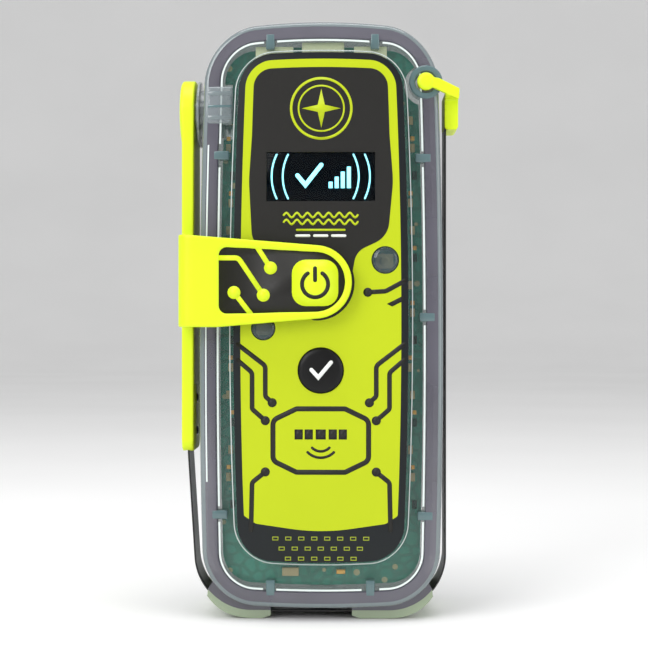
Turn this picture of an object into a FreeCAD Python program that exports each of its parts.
import FreeCAD, Part
import math
import os

import Sketcher

# Handheld emergency position beacon, standing upright. Millimetres, +Z up, front face towards -Y,
# origin under the middle of the body on the surface that the two lower lips stand on.

Vector = FreeCAD.Vector
Rotation = FreeCAD.Rotation
Placement = FreeCAD.Placement

DIMENSIONS = {
    # levels from the front to the back
    "flap_front": -18.95, "flap_thick": 2.1, "label_front": -15.6, "label_thick": 0.3,
    "rim_front": -12.5, "parting": 1.5, "case_back": 18.95,
    # outline of the body: four bowed sides, rounded at the corners
    "half_top": 22.0, "half_bottom": 22.5, "top_z": 112.6, "bottom_z": 3.7, "case_corner": 9.6,
    "side_bow": 1400, "top_bow": 115, "bottom_bow": 210, "rim_wall": 3.1, "front_wall": 1.6,
    "back_wall": 1.8, "rim_round": 0.9, "back_round": 4.5,
    # raised platform that carries the label
    "platform_top": 15.7, "platform_bottom": 16.0, "platform_top_z": 108.1, "platform_bottom_z": 12.0,
    "platform_corner": 6.5, "platform_bow": 900, "platform_end_bow": 160, "platform_wall": 1.5,
    "platform_round": 0.6, "label_margin": 0.45,
    # face fittings
    "window_half": 10.3, "window_z": 84.8, "window_half_tall": 4.65, "window_thick": 1.5,
    "lens_upper_x": 12.2, "lens_upper_z": 69.0, "lens_upper_rad": 2.6,
    "lens_lower_x": -10.9, "lens_lower_z": 56.1, "lens_lower_rad": 2.3,
    "on_x": -1.1, "on_z": 64.5, "test_x": 0, "test_z": 48.1, "button_rad": 4.25, "button_gap": 0.15,
    "button_proud": 0.7, "button_lip": 1.0, "button_lip_thick": 0.6, "button_stem_rad": 1.4,
    "button_stroke": 0.5,
    # seal between the two case halves
    "seal_inset": 1.1, "seal_wide": 1.0, "seal_deep": 0.9,
    # antenna pivot
    "hub_y": -4, "hub_z": 98, "hub_rad": 6.6, "barrel_rad": 4.8, "barrel_bore": 3.0,
    "barrel_flange": 0.7, "barrel_inner_x": -18.6, "barrel_seat_x": -23.5, "shaft_clearance": 0.05,
    "shaft_inner_x": -16.4, "ring_groove_x": -21.4, "ring_section": 0.38, "ring_groove_rad": 2.15,
    "ring_groove_half": 0.5, "clip_groove_rad": 2.2, "clip_x": -18.0, "clip_thick": 0.6, "clip_rad": 4.2,
    # antenna arm and flap
    "arm_outer": -26.9, "hub_outer": -27.4, "arm_inner": -24.6, "arm_bottom": 32.3, "arm_round": 2.2,
    "flap_high": 73.9, "flap_low": 56.3, "flap_tip_rad": 6.9, "flap_tip_x": -1.0, "flap_tip_z": 64.8,
    "flap_corner": 2.6, "flap_inner_corner": 1.4, "clamp_thick": 1.05, "clamp_low": 33.2,
    "clamp_high": 45.5, "clamp_half": 4.9, "label_inlay": 0.2,
    # steel tape antenna
    "tape_thick": 0.3, "tape_half": 4.7, "tape_start_x": -25.85, "tape_start_z": 32.0,
    "tape_lean": 3.65, "tape_bend": 11, "tape_low": 1.35, "tape_side_x": 24.0, "tape_joint": 0.5,
    "tape_root_z": 44.0, "tape_tip_z": 100.5,
    # tip of the tape and the lug that holds it
    "lug_x": 20.0, "lug_z": 103.1, "lug_rad": 3.6, "lug_bore": 2.2, "lug_deep": 5.0, "knob_rad": 1.6,
    "tip_inner": 23.75, "tip_outer": 26.4, "tip_low": 94.4, "tip_high": 102.6, "tip_half": 5.2,
    "strap_thick": 1.2, "strap_gap": 0.3, "strap_low": 100.9,
    # lips that keep the tape against the bottom, and the lanyard eye behind them
    "lip_thick": 0.9, "lip_front": -5.0, "lip_back": 12.0, "lip_gap": 0.3, "lip_web_front": 1.6,
    "lip_left_end": -9.8, "lip_right_end": 5.9, "lip_left_start": 206, "lip_right_start": 332,
    "eye_half": 3, "eye_front": 10.5, "eye_top": 9, "eye_z": 1.9, "eye_y": 16.9, "eye_bore": 1.0,
    # printed circuit board and what it carries
    "board_front": -8.6, "board_thick": 1.2, "board_gap": 0.5,
    "boss_x": 14.6, "boss_low_z": 15.5, "boss_high_z": 103.4, "boss_rad": 1.9, "screw_rad": 0.7,
    "screw_head": 1.5, "gps_z": 33.6, "gps_half": 6.6,
    # battery
    "cell_rad": 8.4, "cell_long": 34, "cell_x": 8.7, "cell_y": 7.6, "cell_low": 36,
    "rear_label_half": 15.5, "rear_label_low": 20, "rear_label_high": 96, "rear_label_thick": 0.3,
}

doc = FreeCAD.newDocument("beacon")
sheet = doc.addObject("Spreadsheet::Sheet", "D")
for row, (alias, number) in enumerate(DIMENSIONS.items(), start=1):
    sheet.set(f"A{row}", alias)
    sheet.set(f"B{row}", str(number))
    sheet.setAlias(f"B{row}", alias)
doc.recompute()


def dim(alias):
    """A driving dimension, read from the sheet."""
    return float(sheet.get(alias))


# ---- helpers: every argument that is a size is an expression on the sheet ----

TO_AXIS = {
    "X": Rotation(Vector(0, 1, 0), 90),
    "Y": Rotation(Vector(1, 0, 0), -90),
    "Z": Rotation(),
}


def bind(obj, sizes):
    for prop, text in sizes.items():
        obj.setExpression(prop, str(text))
    return obj


def move_to(obj, x, y, z):
    return bind(obj, {"Placement.Base.x": x, "Placement.Base.y": y, "Placement.Base.z": z})


def box(name, x, y, z):
    """A block between a low and a high expression on each axis."""
    obj = doc.addObject("Part::Box", name)
    for prop, (low, high) in zip(("Length", "Width", "Height"), (x, y, z)):
        obj.setExpression(prop, f"({high}) - ({low})")
    return move_to(obj, x[0], y[0], z[0])


def cylinder(name, axis, radius, span, across):
    """A cylinder along an axis, from span[0] to span[1], centred on the two other coordinates."""
    obj = doc.addObject("Part::Cylinder", name)
    obj.Placement = Placement(Vector(), TO_AXIS[axis])
    bind(obj, {"Radius": radius, "Height": f"({span[1]}) - ({span[0]})"})
    place = {"X": (span[0], *across), "Y": (across[0], span[0], across[1]), "Z": (*across, span[0])}
    return move_to(obj, *place[axis])


def fuse(name, *shapes):
    obj = doc.addObject("Part::MultiFuse", name)
    obj.Shapes = list(shapes)
    return obj


def cut(name, base, *tools):
    obj = doc.addObject("Part::Cut", name)
    obj.Base = base
    obj.Tool = tools[0] if len(tools) == 1 else fuse(f"{name}_tools", *tools)
    return obj


def common(name, one, other):
    obj = doc.addObject("Part::Common", name)
    obj.Base = one
    obj.Tool = other
    return obj


def round_edges(name, base, radius, wanted):
    """A fillet on the edges of base that wanted(edge) picks."""
    doc.recompute()
    obj = doc.addObject("Part::Fillet", name)
    obj.Base = base
    size = radius if isinstance(radius, float) else dim(radius)
    numbers = [n for n, edge in enumerate(base.Shape.Edges, start=1) if wanted(edge)]
    obj.Edges = [(n, size, size) for n in numbers]
    return obj


def along(edge, axis):
    """Is this a straight edge along the axis 0, 1 or 2?"""
    one, other = edge.Vertexes[0].Point, edge.Vertexes[-1].Point
    still = [abs(one[i] - other[i]) < 1e-4 for i in range(3)]
    return not still[axis] and all(still[i] for i in range(3) if i != axis)


def at_level(edge, axis, level):
    """Does an edge lie across the axis at this level?"""
    return max(abs(v.Point[axis] - level) for v in edge.Vertexes) < 1e-3


def end_level(shape, axis, lowest=True):
    """The lowest or highest level of a shape's corners on an axis."""
    levels = [v.Point[axis] for v in shape.Vertexes]
    return min(levels) if lowest else max(levels)


def origin_plane(body, role):
    return next(f for f in body.Origin.OriginFeatures if f.Role == role)


CASE = {
    "top": "D.half_top", "bottom": "D.half_bottom", "high": "D.top_z", "low": "D.bottom_z",
    "side_bow": "D.side_bow", "top_bow": "D.top_bow", "bottom_bow": "D.bottom_bow",
    "corner": "D.case_corner",
}
PLATFORM = {
    "top": "D.platform_top", "bottom": "D.platform_bottom", "high": "D.platform_top_z",
    "low": "D.platform_bottom_z", "side_bow": "D.platform_bow", "top_bow": "D.platform_end_bow",
    "bottom_bow": "D.platform_end_bow", "corner": "D.platform_corner",
}


def inset(outline, by):
    """The same bowed outline, drawn in by an expression on every side."""
    smaller = {key: f"({text}) - ({by})" for key, text in outline.items()}
    smaller["low"] = f"({outline['low']}) + ({by})"
    return smaller


def bowed_block(name, outline, front, back, edge_round=None, round_level=None):
    """A body padded from a four-arc outline between two Y levels, with its corners rounded."""
    body = doc.addObject("PartDesign::Body", name)
    sketch = body.newObject("Sketcher::SketchObject", f"{name}_outline")
    sketch.AttachmentSupport = [(origin_plane(body, "XZ_Plane"), "")]
    sketch.MapMode = "FlatFace"
    sketch.setExpression("AttachmentOffset.Base.z", f"-({back})")
    corners = [(24, 4), (23, 112), (-23, 112), (-24, 4)]
    middles = [(25, 58), (0, 114), (-25, 58), (0, 2)]
    for n, (x, z) in enumerate(corners):
        far = corners[(n + 1) % 4]
        arc = Part.Arc(Vector(x, z, 0), Vector(*middles[n], 0), Vector(*far, 0))
        sketch.addGeometry(arc, False)
    for n in range(4):
        sketch.addConstraint(Sketcher.Constraint("Coincident", n, 2, (n + 1) % 4, 1))
    half = [outline["bottom"], outline["top"], outline["top"], outline["bottom"]]
    tall = [outline["low"], outline["high"], outline["high"], outline["low"]]
    bows = [outline["side_bow"], outline["top_bow"], outline["side_bow"], outline["bottom_bow"]]
    for n, (x, z) in enumerate(corners):
        side = "" if x > 0 else "-"
        for kind, value, text in (("DistanceX", x, f"{side}({half[n]})"), ("DistanceY", z, tall[n])):
            index = sketch.addConstraint(Sketcher.Constraint(kind, -1, 1, n, 1, value))
            sketch.setExpression(f"Constraints[{index}]", text)
    for n in range(4):
        radius = sketch.Geometry[n].Radius
        index = sketch.addConstraint(Sketcher.Constraint("Radius", n, radius))
        sketch.setExpression(f"Constraints[{index}]", bows[n])
    pad = body.newObject("PartDesign::Pad", f"{name}_pad")
    pad.Profile = sketch
    pad.setExpression("Length", f"({back}) - ({front})")
    doc.recompute()
    corner = body.newObject("PartDesign::Fillet", f"{name}_corners")
    edges = [f"Edge{n}" for n, e in enumerate(pad.Shape.Edges, start=1) if along(e, 1)]
    corner.Base = (pad, edges)
    corner.setExpression("Radius", outline["corner"])
    body.Tip = corner
    doc.recompute()
    if edge_round:
        level = end_level(corner.Shape, 1, lowest=round_level == "front")
        rim = body.newObject("PartDesign::Fillet", f"{name}_rim")
        edges = [f"Edge{n}" for n, e in enumerate(corner.Shape.Edges, start=1) if at_level(e, 1, level)]
        rim.Base = (corner, edges)
        rim.setExpression("Radius", edge_round)
        body.Tip = rim
        doc.recompute()
    return body


def sector(name, centre, radii, start, sweep, span):
    """Part of a tube about a Y axis: angles in degrees from +X towards +Z, seen from the front."""
    turn = Rotation(Vector(0, -1, 0), start) * Rotation(Vector(1, 0, 0), 90)
    outer = doc.addObject("Part::Cylinder", f"{name}_outer")
    outer.Placement = Placement(Vector(centre[0], span[1], centre[1]), turn)
    outer.Angle = sweep
    inner = doc.addObject("Part::Cylinder", f"{name}_inner")
    inner.Placement = Placement(Vector(centre[0], span[1], centre[1]), turn)
    for obj, radius in ((outer, radii[1]), (inner, radii[0])):
        bind(obj, {"Radius": radius, "Height": span[1] - span[0]})
    return cut(name, outer, inner)


NODES = {}


def node(obj, label):
    """Names a finished sub-part; the label is also its file's name."""
    obj.Label = label
    NODES[label] = obj
    return obj


# ---- clear case ----

MID_FRONT = "D.rim_front + D.front_wall"
PLATFORM_IN = "D.label_front + D.label_thick + D.platform_wall"


def rib(name, x, z, reach_x, reach_z):
    """A short web between the wall's inner face and the platform, seen through the clear rim."""
    return box(
        name, (f"{x} - {reach_x}", f"{x} + {reach_x}"), (MID_FRONT, "D.board_front - 0.3"),
        (f"{z} - {reach_z}", f"{z} + {reach_z}"),
    )


def front_case():
    rim = bowed_block("rim_block", CASE, "D.rim_front", "D.parting", "D.rim_round", "front")
    raised = bowed_block(
        "platform_block", PLATFORM, "D.label_front + D.label_thick", "D.rim_front + 1",
        "D.platform_round", "front",
    )
    lug = cylinder(
        "lug_boss", "Y", "D.lug_rad", ("D.rim_front", "D.rim_front + 8"), ("D.lug_x", "D.lug_z")
    )
    hollow = bowed_block("rim_hollow", inset(CASE, "D.rim_wall"), MID_FRONT, "D.parting + 1")
    pocket = bowed_block(
        "platform_hollow", inset(PLATFORM, "D.platform_wall"), PLATFORM_IN, MID_FRONT + " + 1"
    )
    shell = cut("front_shell", fuse("front_solid", rim, raised), hollow, pocket)
    bosses = [
        cylinder(
            f"board_boss_{n}", "Y", "D.boss_rad", (PLATFORM_IN + " - 0.2", "D.board_front"), (x, z)
        )
        for n, (x, z) in enumerate(BOSSES)
    ]
    webs = [
        rib(f"rib_{n}", x, z, *((0.8, 1.3) if upright else (1.3, 0.8)))
        for n, (x, z, upright) in enumerate(RIBS)
    ]
    holes = [
        box(
            "window_hole", ("-D.window_half", "D.window_half"), ("D.label_front", MID_FRONT),
            ("D.window_z - D.window_half_tall", "D.window_z + D.window_half_tall"),
        ),
        cylinder(
            "barrel_hole", "X", "D.barrel_rad", ("D.barrel_seat_x - 2", "D.barrel_inner_x"),
            ("D.hub_y", "D.hub_z"),
        ),
        cylinder(
            "lug_hole", "Y", "D.lug_bore", ("D.rim_front - 1", "D.rim_front + D.lug_deep"),
            ("D.lug_x", "D.lug_z"),
        ),
    ]
    for name, radius in ROUND_HOLES.items():
        x, z = FACE_PLACES[name]
        holes.append(cylinder(f"{name}_hole", "Y", radius, ("D.label_front", MID_FRONT), (x, z)))
    for n, place in enumerate(BOSSES):
        holes.append(
            cylinder(
                f"board_screw_hole_{n}", "Y", "D.screw_rad", ("D.board_front - 3.5", "D.board_front"),
                place,
            )
        )
    whole = fuse("front_with_bosses", shell, lug, *bosses, *webs)
    return cut("front_case", whole, *holes)


BOSSES = [
    (side + "D.boss_x", height)
    for side in ("-", "")
    for height in ("D.boss_low_z", "D.boss_high_z")
]
FACE_PLACES = {
    "lens_upper": ("D.lens_upper_x", "D.lens_upper_z"),
    "lens_lower": ("D.lens_lower_x", "D.lens_lower_z"),
    "on": ("D.on_x", "D.on_z"),
    "test": ("D.test_x", "D.test_z"),
}
ROUND_HOLES = {
    "lens_upper": "D.lens_upper_rad",
    "lens_lower": "D.lens_lower_rad",
    "on": "D.button_rad + D.button_gap",
    "test": "D.button_rad + D.button_gap",
}
# middle of each rib, and whether it bridges a gap that runs up and down
RIBS = [
    (-9.7, 109.6, True), (10.3, 109.6, True), (-9.7, 7.3, True), (9.4, 7.3, True),
    (-18.6, 20.4, False), (18.9, 20.2, False), (-18.4, 89.2, False), (18.7, 88.6, False),
    (19.3, 58.2, False),
]


def tape_corners():
    """Centres of the tape's two bends: the left one touches the leaning run, the right one the side."""
    lean, bend = math.radians(dim("tape_lean")), dim("tape_bend")
    high = dim("tape_low") + bend
    reach = bend - math.sin(lean) * (high - dim("tape_start_z"))
    left = dim("tape_start_x") + reach / math.cos(lean)
    return (left, high), (dim("tape_side_x") - bend, high)


LEFT_BEND, RIGHT_BEND = tape_corners()


def rear_case():
    tub = bowed_block("tub_block", CASE, "D.parting", "D.case_back", "D.back_round", "back")
    hollow = bowed_block(
        "tub_hollow", inset(CASE, "D.rim_wall"), "D.parting - 1", "D.case_back - D.back_wall - 2.5"
    )
    deep = bowed_block(
        "tub_floor_hollow", inset(CASE, "D.rim_wall + 2"), "D.parting + 2", "D.case_back - D.back_wall"
    )
    groove = cut(
        "seal_groove",
        bowed_block(
            "groove_outer", inset(CASE, "D.seal_inset"), "D.parting - 1", "D.parting + D.seal_deep"
        ),
        bowed_block(
            "groove_inner", inset(CASE, "D.seal_inset + D.seal_wide"), "D.parting - 2",
            "D.parting + D.seal_deep + 1",
        ),
    )
    eye = box(
        "lanyard_ear", ("-D.eye_half", "D.eye_half"), ("D.eye_front", "D.case_back"), ("0", "D.eye_top")
    )
    ear = round_edges(
        "lanyard_ear_round", eye, 2.0, lambda e: along(e, 0) and e.BoundBox.YMin > dim("case_back") - 1
        and e.BoundBox.ZMin < 1,
    )
    recess = box(
        "rear_label_recess", ("-D.rear_label_half", "D.rear_label_half"),
        ("D.case_back - D.rear_label_thick", "D.case_back + 1"), ("D.rear_label_low", "D.rear_label_high"),
    )
    bore = cylinder(
        "lanyard_bore", "X", "D.eye_bore", ("-D.eye_half - 1", "D.eye_half + 1"), ("D.eye_y", "D.eye_z")
    )
    solid = fuse("tub_with_lips", tub, ear, *lips())
    return cut("rear_case", solid, hollow, deep, groove, recess, bore)


def lips():
    """Two curved lips under the bottom corners. The tape lies between them and the case, and the
    slot is open to the front."""
    clear = dim("tape_bend") + dim("tape_thick") / 2 + dim("lip_gap")
    front, back, web = dim("lip_front"), dim("lip_back"), dim("lip_web_front")
    outer = clear + dim("lip_thick")
    low = LEFT_BEND[1] - outer
    ends = {
        "left": (LEFT_BEND, dim("lip_left_start"), 270 - dim("lip_left_start"),
                 (LEFT_BEND[0], dim("lip_left_end"))),
        "right": (RIGHT_BEND, 270, dim("lip_right_start") - 270, (dim("lip_right_end"), RIGHT_BEND[0])),
    }
    made = []
    for side, (centre, start, sweep, run) in ends.items():
        made.append(sector(f"lip_{side}", centre, (clear, outer), start, sweep, (front, back)))
        made.append(sector(f"lip_web_{side}", centre, (7.0, outer), start, sweep, (web, back)))
        made.append(box(f"lip_end_{side}", run, (front, back), (low, low + dim("lip_thick"))))
        made.append(box(f"lip_web_end_{side}", run, (web, back), (low, 6)))
    return made


def case_seal():
    outer = bowed_block(
        "seal_outer", inset(CASE, "D.seal_inset"), "D.parting", "D.parting + D.seal_deep"
    )
    inner = bowed_block(
        "seal_inner", inset(CASE, "D.seal_inset + D.seal_wide"), "D.parting - 1",
        "D.parting + D.seal_deep + 1",
    )
    return cut("case_seal", outer, inner)


# ---- front face ----

def face_label():
    plate = bowed_block(
        "label_plate", inset(PLATFORM, "D.label_margin"), "D.label_front", "D.label_front + D.label_thick"
    )
    span = ("D.label_front - 1", "D.rim_front")
    holes = [
        box(
            "label_window", ("-D.window_half", "D.window_half"), span,
            ("D.window_z - D.window_half_tall", "D.window_z + D.window_half_tall"),
        )
    ]
    for name, radius in ROUND_HOLES.items():
        holes.append(cylinder(f"label_{name}_hole", "Y", radius, span, FACE_PLACES[name]))
    return cut("face_label", plate, *holes)


def display_window():
    return box(
        "display_window", ("-D.window_half", "D.window_half"),
        ("D.label_front", "D.label_front + D.window_thick"),
        ("D.window_z - D.window_half_tall", "D.window_z + D.window_half_tall"),
    )


def lens(name):
    x, z = FACE_PLACES[name]
    return cylinder(name, "Y", ROUND_HOLES[name], ("D.label_front", PLATFORM_IN + " + 0.6"), (x, z))


def button(name):
    """A domed cap with a lip behind the wall and a stem that presses the switch."""
    x, z = FACE_PLACES[name]
    front = "D.label_front - D.button_proud"
    cap = cylinder(f"{name}_cap", "Y", "D.button_rad", (front, PLATFORM_IN + " + 0.8"), (x, z))
    domed = round_edges(f"{name}_dome", cap, 0.5, lambda e: at_level(e, 1, end_level(cap.Shape, 1)))
    lip = cylinder(
        f"{name}_lip", "Y", "D.button_rad + D.button_lip",
        (PLATFORM_IN + " + 0.1", PLATFORM_IN + " + 0.1 + D.button_lip_thick"), (x, z),
    )
    stem = cylinder(
        f"{name}_stem", "Y", "D.button_stem_rad",
        (PLATFORM_IN + " + 0.4", "D.board_front - 1.6 - 0.05 - D.button_stroke"), (x, z),
    )
    return fuse(f"{name}_button_solid", domed, lip, stem)


# ---- antenna pivot ----

HUB = ("D.hub_y", "D.hub_z")


def pivot_barrel():
    body = cylinder("barrel_body", "X", "D.barrel_rad", ("D.barrel_seat_x", "D.barrel_inner_x"), HUB)
    flange = cylinder(
        "barrel_flange", "X", "D.hub_rad", ("D.barrel_seat_x - D.barrel_flange", "D.barrel_seat_x"), HUB
    )
    bore = cylinder(
        "barrel_bore", "X", "D.barrel_bore", ("D.barrel_seat_x - 3", "D.barrel_inner_x + 1"), HUB
    )
    return cut("barrel_solid", fuse("barrel_blank", body, flange), bore)


def collar(name, x_middle, half, radius):
    """A ring-shaped tool that turns a groove in the shaft."""
    span = (f"{x_middle} - {half}", f"{x_middle} + {half}")
    outer = cylinder(f"{name}_outer", "X", "D.barrel_bore + 1", span, HUB)
    inner = cylinder(f"{name}_inner", "X", radius, span, HUB)
    return cut(name, outer, inner)


def pivot_shaft():
    rod = cylinder(
        "shaft_rod", "X", "D.barrel_bore - D.shaft_clearance", ("D.arm_inner", "D.shaft_inner_x"), HUB
    )
    return cut(
        "shaft_solid", rod, collar("ring_groove", "D.ring_groove_x", "D.ring_groove_half", "D.ring_groove_rad"),
        collar("clip_groove", "D.clip_x", "D.clip_thick / 2", "D.clip_groove_rad"),
    )


def shaft_seal():
    ring = doc.addObject("Part::Torus", "shaft_seal_ring")
    ring.Placement = Placement(Vector(), TO_AXIS["X"])
    bind(ring, {"Radius1": "D.ring_groove_rad + D.ring_section + 0.02", "Radius2": "D.ring_section"})
    return move_to(ring, "D.ring_groove_x", *HUB)


def shaft_clip():
    """A C-shaped clip in the shaft's inner groove, open upwards."""
    span = ("D.clip_x - D.clip_thick / 2", "D.clip_x + D.clip_thick / 2")
    disc = cylinder("clip_disc", "X", "D.clip_rad", span, HUB)
    hole = cylinder("clip_hole", "X", "D.clip_groove_rad", span, HUB)
    mouth = box(
        "clip_mouth", span, ("D.hub_y - 1.5", "D.hub_y + 1.5"), ("D.hub_z", "D.hub_z + D.clip_rad + 1")
    )
    return cut("clip_solid", disc, hole, mouth)


# ---- antenna arm ----

def flap_outline():
    """A body padded from the flap's outline: straight edges into a round end."""
    body = doc.addObject("PartDesign::Body", "flap_blank")
    sketch = body.newObject("Sketcher::SketchObject", "flap_sketch")
    sketch.AttachmentSupport = [(origin_plane(body, "XZ_Plane"), "")]
    sketch.MapMode = "FlatFace"
    left, high, low = dim("arm_outer") - 1, dim("flap_high"), dim("flap_low")
    x, z, rad = dim("flap_tip_x"), dim("flap_tip_z"), dim("flap_tip_rad")

    def touch(px, pz, side):
        """Where a line from a point touches the round end, above (+1) or below (-1)."""
        away = math.atan2(pz - z, px - x)
        angle = away - side * math.acos(rad / math.hypot(px - x, pz - z))
        return Vector(x + rad * math.cos(angle), z + rad * math.sin(angle), 0)

    knee = Vector(left + 8, low, 0)
    top, bottom = touch(left, high, 1), touch(knee.x, low, -1)
    ring = [Vector(left, high, 0), Vector(left, low, 0), knee, bottom]
    for one, other in zip(ring, ring[1:]):
        sketch.addGeometry(Part.LineSegment(one, other), False)
    sketch.addGeometry(Part.Arc(bottom, Vector(x + rad, z, 0), top), False)
    sketch.addGeometry(Part.LineSegment(top, ring[0]), False)
    pad = body.newObject("PartDesign::Pad", "flap_pad")
    pad.Profile = sketch
    pad.setExpression("Length", "25")
    body.Tip = pad
    return body


def antenna_arm():
    """The arm beside the case, the hub at its top, and the flap that wraps round to the front."""
    arm_y = ("D.hub_y - D.hub_rad", "D.hub_y + D.hub_rad")
    bar = box("arm_bar", ("D.arm_outer", "D.arm_inner"), arm_y, ("D.arm_bottom", "D.hub_z"))
    rounded = round_edges(
        "arm_bar_round", bar, "arm_round", lambda e: along(e, 0) and e.BoundBox.ZMax < dim("hub_z") - 1
    )
    hub = cylinder("arm_hub", "X", "D.hub_rad", ("D.hub_outer", "D.arm_inner"), HUB)
    domed = round_edges(
        "arm_hub_round", hub, 0.45, lambda e: at_level(e, 0, dim("hub_outer"))
    )
    wall = box(
        "flap_wall", ("D.arm_outer", "D.arm_inner"), ("D.flap_front", "D.hub_y"),
        ("D.flap_low", "D.flap_high"),
    )
    plate = box(
        "flap_plate", ("D.arm_outer", "D.flap_tip_x + D.flap_tip_rad + 1"),
        ("D.flap_front", "D.flap_front + D.flap_thick"), ("D.flap_low - 1", "D.flap_high + 1"),
    )
    angle = fuse("flap_angle", wall, plate)
    outer = round_edges(
        "flap_outer_corner", angle, "flap_corner",
        lambda e: along(e, 2) and e.BoundBox.XMax < dim("arm_outer") + 0.1
        and e.BoundBox.YMax < dim("flap_front") + 0.1,
    )
    both = round_edges(
        "flap_inner_round", outer, "flap_inner_corner",
        lambda e: along(e, 2) and abs(e.BoundBox.XMax - dim("arm_inner")) < 0.1
        and abs(e.BoundBox.YMax - dim("flap_front") - dim("flap_thick")) < 0.1,
    )
    flap = common("flap_solid", both, flap_outline())
    inlay = flap_label_blank("inlay_recess", "D.flap_front - 1")
    slot = box(
        "tape_slot", ("D.tape_start_x - 0.2", "D.arm_inner + 0.1"),
        ("D.hub_y - D.clamp_half", "D.hub_y + D.clamp_half"), ("D.arm_bottom - 1", "D.clamp_high"),
    )
    return cut("arm_solid", fuse("arm_blank", rounded, domed, flap), inlay, slot)


def flap_label_blank(name, front):
    """The printed inlay's area on the flap, shared by the recess and the inlay."""
    block = box(
        name, ("D.arm_outer + 8.6", "D.flap_tip_x + 1"), (front, "D.flap_front + D.label_inlay"),
        ("D.flap_tip_z - 5.9", "D.flap_tip_z + 6.0"),
    )
    disc = cylinder(
        f"{name}_end", "Y", "D.flap_tip_rad - 0.95", (front, "D.flap_front + D.label_inlay"),
        ("D.flap_tip_x", "D.flap_tip_z"),
    )
    return fuse(f"{name}_both", block, disc)


def tape_clamp():
    return box(
        "tape_clamp", ("D.arm_inner - D.clamp_thick", "D.arm_inner"),
        ("D.hub_y - D.clamp_half + 0.1", "D.hub_y + D.clamp_half - 0.1"), ("D.clamp_low", "D.clamp_high - 0.1"),
    )


# ---- steel tape: five lengths, hinged at two places round each bottom corner ----

def tape():
    lean, bend, half = dim("tape_lean"), dim("tape_bend"), dim("tape_half")
    radii = (bend - dim("tape_thick") / 2, bend + dim("tape_thick") / 2)
    span = (dim("hub_y") - half, dim("hub_y") + half)
    gap = dim("tape_joint")
    left_start = 180 + lean
    left_quarter, right_quarter = (90 - lean) / 4, 90 / 4

    def bow(name, centre, start, stop):
        return sector(name, centre, radii, start, stop - start, span)

    def straight(name, along_x, along_z):
        return box(name, along_x, span, along_z)

    start = Vector(dim("tape_start_x"), 0, dim("tape_start_z"))
    touch = Vector(
        LEFT_BEND[0] - bend * math.cos(math.radians(lean)), 0,
        LEFT_BEND[1] - bend * math.sin(math.radians(lean)),
    )
    fall = (touch - start).Length
    root = doc.addObject("Part::Box", "tape_root_run")
    bind(root, {"Length": "D.tape_thick", "Width": "2 * D.tape_half", "Height": fall})
    turn = Rotation(Vector(0, -1, 0), lean)
    shift = turn.multVec(Vector(-dim("tape_thick") / 2, 0, 0))
    root.Placement = Placement(Vector(touch.x, span[0], touch.z) + shift, turn)
    held = box(
        "tape_held_run", ("D.tape_start_x - D.tape_thick / 2", "D.tape_start_x + D.tape_thick / 2"), span,
        ("D.tape_start_z - 0.02", "D.tape_root_z"),
    )
    low = dim("tape_low") - dim("tape_thick") / 2
    side = dim("tape_side_x") - dim("tape_thick") / 2
    thick = dim("tape_thick")
    pieces = {
        "tape_root": fuse(
            "tape_root_solid", held, root,
            bow("tape_root_bow", LEFT_BEND, left_start, left_start + left_quarter - gap),
        ),
        "tape_left_bend": bow(
            "tape_left_bow", LEFT_BEND, left_start + left_quarter, left_start + 3 * left_quarter - gap
        ),
        "tape_base": fuse(
            "tape_base_solid", bow("tape_base_bow", LEFT_BEND, left_start + 3 * left_quarter, 270),
            straight("tape_base_run", (LEFT_BEND[0], RIGHT_BEND[0]), (low, low + thick)),
            bow("tape_base_end", RIGHT_BEND, 270, 270 + right_quarter - gap),
        ),
        "tape_right_bend": bow(
            "tape_right_bow", RIGHT_BEND, 270 + right_quarter, 270 + 3 * right_quarter - gap
        ),
        "tape_side": fuse(
            "tape_side_solid", bow("tape_side_bow", RIGHT_BEND, 270 + 3 * right_quarter, 360),
            straight("tape_side_run", (side, side + thick), (RIGHT_BEND[1], dim("tape_tip_z"))),
        ),
    }
    for label, obj in pieces.items():
        node(obj, label)
    for n in range(2):
        for name, centre, angle in (
            ("left", LEFT_BEND, left_start + (2 * n + 1) * left_quarter),
            ("right", RIGHT_BEND, 270 + (2 * n + 1) * right_quarter),
        ):
            turned = math.radians(angle)
            x, z = centre[0] + bend * math.cos(turned), centre[1] + bend * math.sin(turned)
            print(f"tape hinge {name} {n + 1}: x {x:.4f} z {z:.4f}")


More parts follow.
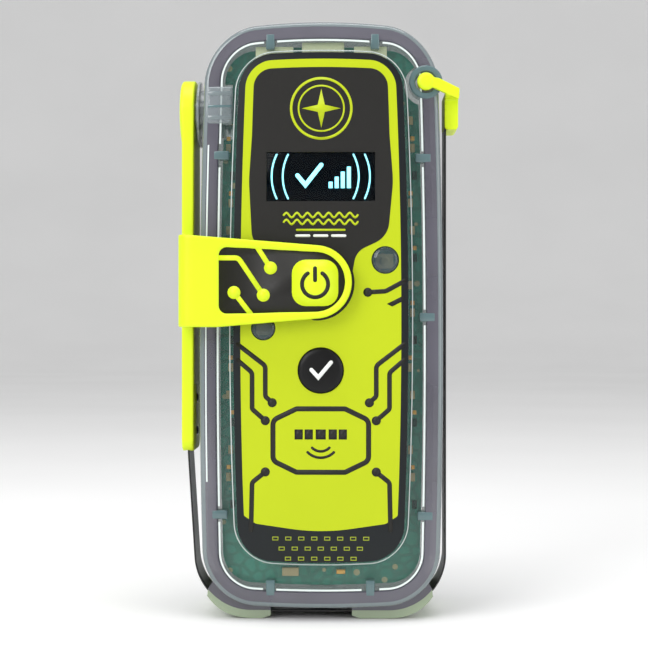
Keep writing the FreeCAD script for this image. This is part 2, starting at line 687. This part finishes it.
def tip_cap():
    """The yellow end of the tape: a cap beside the case, a strap across the rim, and a knob in the lug."""
    y = ("D.hub_y - D.tip_half", "D.hub_y + D.tip_half")
    strap_front = "D.rim_front - D.strap_gap - D.strap_thick"
    cap = box("cap_block", ("D.tip_inner", "D.tip_outer"), (strap_front, y[1]), ("D.tip_low", "D.tip_high"))
    neck = round_edges(
        "cap_round", cap, 1.1, lambda e: (along(e, 2) or along(e, 1)) and e.BoundBox.XMin > dim("tip_inner") + 1
    )
    lower_front = box(
        "cap_trim", ("D.tip_inner - 1", "D.tip_outer + 1"), (strap_front + " - 1", "D.hub_y - D.tip_half"),
        ("D.tip_low - 1", "D.strap_low - 0.6"),
    )
    strap = box(
        "strap", ("D.lug_x", "D.tip_inner + 0.5"), (strap_front, "D.rim_front - D.strap_gap"),
        ("D.strap_low", "D.lug_z + D.knob_rad + 0.2"),
    )
    head = cylinder(
        "knob_head", "Y", "D.knob_rad + 0.5", (strap_front + " - 0.5", "D.rim_front - D.strap_gap"),
        ("D.lug_x", "D.lug_z"),
    )
    knob = cylinder(
        "knob", "Y", "D.knob_rad", (strap_front, "D.rim_front + D.lug_deep - 1"), ("D.lug_x", "D.lug_z")
    )
    tape_room = box(
        "cap_slot", ("D.tape_side_x - D.tape_thick / 2", "D.tape_side_x + D.tape_thick / 2"),
        ("D.hub_y - D.tape_half", "D.hub_y + D.tape_half"), ("D.tip_low - 1", "D.tape_tip_z"),
    )
    blank = fuse("tip_blank", cut("cap_cut", neck, lower_front), strap, head, knob)
    return cut("tip_solid", blank, tape_room)


# ---- inside ----

FRONT_OF_BOARD = "D.board_front"
BACK_OF_BOARD = "D.board_front + D.board_thick"


def on_board(name, x, z, half_x, half_z, high, front=True):
    """A rectangular component on the board's front or back."""
    y = (f"{FRONT_OF_BOARD} - {high}", FRONT_OF_BOARD) if front else (BACK_OF_BOARD, f"{BACK_OF_BOARD} + {high}")
    return box(name, (f"{x} - {half_x}", f"{x} + {half_x}"), y, (f"{z} - {half_z}", f"{z} + {half_z}"))


def main_board():
    """A board that fills the front half of the case, notched for the lug and the pivot barrel."""
    plate = bowed_block(
        "board_plate", inset(CASE, "D.rim_wall + D.board_gap"), FRONT_OF_BOARD, BACK_OF_BOARD
    )
    holes = [
        cylinder(f"board_hole_{n}", "Y", "D.screw_rad + 0.2", ("D.board_front - 1", "D.board_front + 2"), place)
        for n, place in enumerate(BOSSES)
    ]
    lug_notch = cylinder(
        "board_lug_notch", "Y", "D.lug_rad + 0.4", ("D.board_front - 1", "D.board_front + 2"),
        ("D.lug_x", "D.lug_z"),
    )
    barrel_notch = box(
        "board_barrel_notch", ("-D.half_bottom - 5", "D.barrel_inner_x + 1.4"),
        ("D.board_front - 1", "D.board_front + 2"),
        ("D.hub_z - D.barrel_rad - 0.5", "D.hub_z + D.barrel_rad + 0.5"),
    )
    return cut("board_solid", plate, lug_notch, barrel_notch, *holes)


def board_screws():
    made = []
    for n, place in enumerate(BOSSES):
        shank = cylinder(
            f"screw_shank_{n}", "Y", "D.screw_rad", ("D.board_front - 3.2", BACK_OF_BOARD), place
        )
        head = cylinder(
            f"screw_head_{n}", "Y", "D.screw_head", (BACK_OF_BOARD, BACK_OF_BOARD + " + 0.9"), place
        )
        made.append(fuse(f"board_screw_{n}", shank, head))
    group = doc.addObject("Part::Compound", "board_screw_group")
    group.Links = made
    return group


def flash_led(name, place):
    base = on_board(f"{name}_base", *place, 1.7, 1.4, 0.8)
    die = cylinder(f"{name}_die", "Y", "1.0", (f"{FRONT_OF_BOARD} - 1.3", f"{FRONT_OF_BOARD} - 0.8"), place)
    return fuse(f"{name}_solid", base, die)


def cell(name, side):
    """One lithium cell with its raised terminal."""
    across = (f"{side}D.cell_x", "D.cell_y")
    can = cylinder(f"{name}_can", "Z", "D.cell_rad", ("D.cell_low", "D.cell_low + D.cell_long - 0.8"), across)
    rounded = round_edges(f"{name}_round", can, 0.6, lambda e: len(e.Vertexes) == 1)
    knob = cylinder(
        f"{name}_terminal", "Z", "3", ("D.cell_low + D.cell_long - 1", "D.cell_low + D.cell_long"), across
    )
    return fuse(f"{name}_solid", rounded, knob)


def battery_tray():
    block = box(
        "tray_block", ("-18", "18"), ("D.cell_y - 10.6", "D.cell_y - 1"),
        ("D.cell_low - 1.6", "D.cell_low + D.cell_long + 1.6"),
    )
    beds = [
        cylinder(
            f"tray_bed_{n}", "Z", "D.cell_rad + 0.15",
            ("D.cell_low - 0.6", "D.cell_low + D.cell_long + 0.6"), (f"{side}D.cell_x", "D.cell_y"),
        )
        for n, side in enumerate(("-", ""))
    ]
    return cut("tray_solid", block, *beds)


def battery_contacts():
    """Spring strips at both ends of the cells, joined by a bus bar across the bottom."""
    y = ("D.cell_y - 0.5", "D.cell_y + 3.5")
    low = box("contact_low", ("-14", "14"), y, ("D.cell_low - 0.5", "D.cell_low - 0.05"))
    tops = [
        box(
            f"contact_top_{n}", (f"{side}D.cell_x - 3", f"{side}D.cell_x + 3"), y,
            ("D.cell_low + D.cell_long + 0.05", "D.cell_low + D.cell_long + 0.5"),
        )
        for n, side in enumerate(("-", ""))
    ]
    group = doc.addObject("Part::Compound", "battery_contact_group")
    group.Links = [low, *tops]
    return group


def antenna_contact():
    """A spring finger from the board to the inner end of the pivot shaft."""
    foot = box("finger_foot", ("-15.4", "-11"), (BACK_OF_BOARD, BACK_OF_BOARD + " + 0.3"), ("96.5", "99.5"))
    blade = box(
        "finger_blade", ("D.shaft_inner_x + 0.15", "D.shaft_inner_x + 0.45"),
        (BACK_OF_BOARD, "D.hub_y + 2"), ("96.5", "99.5"),
    )
    link = box(
        "finger_link", ("D.shaft_inner_x + 0.15", "-15"), (BACK_OF_BOARD, BACK_OF_BOARD + " + 0.3"),
        ("96.5", "99.5"),
    )
    return fuse("finger_solid", foot, link, blade)


def rear_label():
    return box(
        "rear_plate", ("-D.rear_label_half", "D.rear_label_half"),
        ("D.case_back - D.rear_label_thick", "D.case_back"), ("D.rear_label_low", "D.rear_label_high"),
    )


# ---- assembly ----

node(front_case(), "front_case")
node(rear_case(), "rear_case")
node(case_seal(), "case_seal")
node(face_label(), "face_label")
node(display_window(), "display_window")
node(lens("lens_upper"), "strobe_lens_upper")
node(lens("lens_lower"), "strobe_lens_lower")
node(button("on"), "on_button")
node(button("test"), "test_button")
node(pivot_barrel(), "pivot_barrel")
node(pivot_shaft(), "pivot_shaft")
node(shaft_seal(), "shaft_seal")
node(shaft_clip(), "shaft_clip")
node(antenna_arm(), "antenna_arm")
node(flap_label_blank("flap_label_plate", "D.flap_front"), "flap_label")
node(tape_clamp(), "tape_clamp")
tape()
node(tip_cap(), "tip_cap")
node(main_board(), "main_board")
node(board_screws(), "board_screws")
node(flash_led("led_upper", FACE_PLACES["lens_upper"]), "strobe_led_upper")
node(flash_led("led_lower", FACE_PLACES["lens_lower"]), "strobe_led_lower")
for name in ("on", "test"):
    node(on_board(f"{name}_switch_body", *FACE_PLACES[name], 2.3, 2.3, 1.6), f"{name}_switch")
node(
    box(
        "oled", ("-D.window_half - 1.2", "D.window_half + 1.2"),
        ("D.label_front + D.window_thick + 0.5", "D.label_front + D.window_thick + 1.9"),
        ("D.window_z - D.window_half_tall - 1.2", "D.window_z + D.window_half_tall + 0.8"),
    ),
    "display_panel",
)
node(on_board("gps_patch", "0", "D.gps_z", "D.gps_half", "D.gps_half", 3.6), "satnav_patch_antenna")
node(on_board("processor_body", "-9", "96.5", 3.5, 3.5, 1.0), "processor")
node(on_board("radio_body", "8", "98", 5, 4, 1.4), "radio_module")
node(on_board("crystal_body", "-9", "84", 1.6, 2.5, 1.2, front=False), "crystal")
node(on_board("shield_body", "4", "88", 9, 8, 2.8, front=False), "shield_can")
node(on_board("capacitor_body", "-9.2", "20", 3, 3, 2.6), "flash_capacitor")
node(antenna_contact(), "antenna_contact")
node(battery_tray(), "battery_tray")
node(cell("cell_left", "-"), "battery_cell_left")
node(cell("cell_right", ""), "battery_cell_right")
node(battery_contacts(), "battery_contacts")
node(rear_label(), "rear_label")

doc.recompute()

bad = [o.Name for o in doc.Objects if "Invalid" in o.State or "Error" in o.State]
if bad:
    raise SystemExit(f"these objects failed: {bad}")

os.makedirs("parts", exist_ok=True)
for label, obj in NODES.items():
    if obj.Shape.isNull() or not obj.Shape.isValid() or not obj.Shape.Solids:
        raise SystemExit(f"{label} has no valid shape")
    obj.Shape.exportStep(f"parts/{label}.step")
    box_of = obj.Shape.BoundBox
    print(
        f"{label}: {len(obj.Shape.Solids)} solid, {obj.Shape.Volume:.1f} mm3, "
        f"x {box_of.XMin:.2f} {box_of.XMax:.2f} y {box_of.YMin:.2f} {box_of.YMax:.2f} "
        f"z {box_of.ZMin:.2f} {box_of.ZMax:.2f}"
    )
